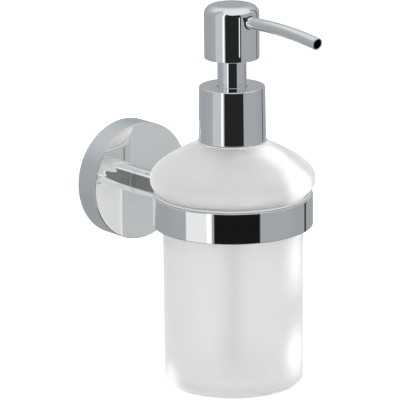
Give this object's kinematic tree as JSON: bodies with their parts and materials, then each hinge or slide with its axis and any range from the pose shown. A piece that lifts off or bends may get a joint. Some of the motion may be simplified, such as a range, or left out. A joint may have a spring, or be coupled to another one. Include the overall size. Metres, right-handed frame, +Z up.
{
  "type": "wall mounted soap dispenser",
  "caption": "Frosted glass soap bottle with a bulged shoulder and a chrome lotion pump, standing in a chrome ring on a short wall arm with a round rosette.",
  "frame": {"origin": "centre of the wall bracket's back face, on the wall, at the arm's height", "axes": "+Z up, the wall is the XZ plane and the object stands out from it towards -Y, so +Y is the bracket's outward normal into the wall"},
  "size_m": [0.0754, 0.1555, 0.1767],
  "materials": {
    "chrome": "mirror polished chrome plating",
    "frosted_glass": "etched, satin, milky white",
    "clear_plastic": "translucent moulded plastic",
    "white_plastic": "moulded, semi gloss",
    "black_plastic": "moulded, semi gloss",
    "grey_rubber": "matt soft rubber",
    "zinc": "die cast, matt",
    "steel": "zinc plated or stainless"
  },
  "bodies": {
    "holder": {"wall_bracket": "zinc", "wall_screw_upper": "steel", "wall_screw_lower": "steel", "wall_plug_upper": "white_plastic", "wall_plug_lower": "white_plastic", "rosette_cover": "chrome", "grub_screw": "steel", "arm": "chrome", "arm_washer": "steel", "arm_screw": "steel", "holder_ring": "chrome", "ring_screw": "steel"},
    "liner": {"ring_liner": "clear_plastic"},
    "bottle": {"glass_bottle": "frosted_glass", "neck_insert": "clear_plastic"},
    "pump": {"pump_cylinder": "white_plastic", "pump_gasket": "grey_rubber", "dip_tube": "clear_plastic", "ball_cage": "white_plastic", "stem_guide": "white_plastic", "return_spring": "steel"},
    "inlet_valve": {"inlet_ball": "steel"},
    "closure": {"closure_nut": "white_plastic", "collar_cover": "chrome"},
    "plunger": {"piston_stem": "white_plastic", "piston": "white_plastic", "piston_seal": "grey_rubber"},
    "outlet_valve": {"outlet_ball": "steel"},
    "head": {"head_core": "white_plastic", "head_shell": "chrome", "stem_sleeve": "chrome", "spout_bushing": "black_plastic", "spout": "chrome"}
  },
  "joints": [
    {"name": "bottle_turn", "type": "hinge", "parent": "holder", "child": "liner", "pos_m": [0, -0.0783, 0], "axis": [0, 0, 1], "continuous": true},
    {"name": "bottle_lift", "type": "slide", "parent": "liner", "child": "bottle", "axis": [0, 0, 1], "range_m": [0, 0.105]},
    {"name": "pump_lift", "type": "slide", "parent": "bottle", "child": "pump", "axis": [0, 0, 1], "range_m": [0, 0.13]},
    {"name": "inlet_valve_lift", "type": "slide", "parent": "pump", "child": "inlet_valve", "axis": [0, 0, 1], "range_m": [0, 0.0011]},
    {"name": "closure_turn", "type": "hinge", "parent": "pump", "child": "closure", "pos_m": [0, -0.0783, 0], "axis": [0, 0, 1], "range_deg": [0, 540]},
    {"name": "pump_stroke", "type": "slide", "parent": "pump", "child": "plunger", "axis": [0, 0, -1], "range_m": [0, 0.0118], "stiffness_N_per_m": 600, "springref_m": -0.008, "deforming": ["return_spring"]},
    {"name": "outlet_valve_lift", "type": "slide", "parent": "plunger", "child": "outlet_valve", "axis": [0, 0, 1], "range_m": [0, 0.0011]},
    {"name": "head_swivel", "type": "hinge", "parent": "plunger", "child": "head", "pos_m": [0, -0.0783, 0], "axis": [0, 0, 1], "continuous": true}
  ]
}
